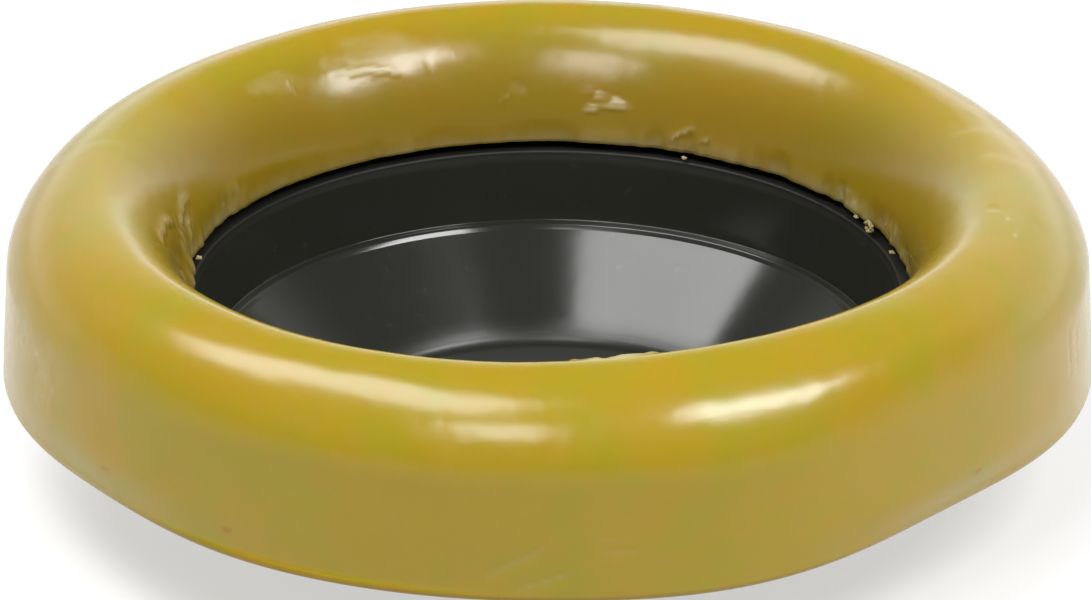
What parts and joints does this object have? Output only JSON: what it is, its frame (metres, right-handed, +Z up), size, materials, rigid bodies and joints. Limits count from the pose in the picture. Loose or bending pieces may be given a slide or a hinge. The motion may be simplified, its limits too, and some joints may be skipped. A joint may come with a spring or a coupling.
{
  "type": "toilet pan seal",
  "caption": "Wax bowl ring with a black plastic funnel sleeve, squeezed between a toilet pan and the floor drain to seal the waste outlet.",
  "frame": {"origin": "on the sleeve's axis, level with the end of its spout, which the part stands on", "axes": "+Z up along the sleeve's axis from the spout to the top of the wax; -Y towards the side that the picture shows nearest"},
  "size_m": [0.1337, 0.1333, 0.0404],
  "materials": {
    "wax": "soft olive-yellow wax, satin, scuffed",
    "black_plastic": "smooth moulded black plastic, semi-gloss"
  },
  "bodies": {
    "root": {"wax_ring": "wax", "funnel_sleeve": "black_plastic"}
  },
  "joints": []
}
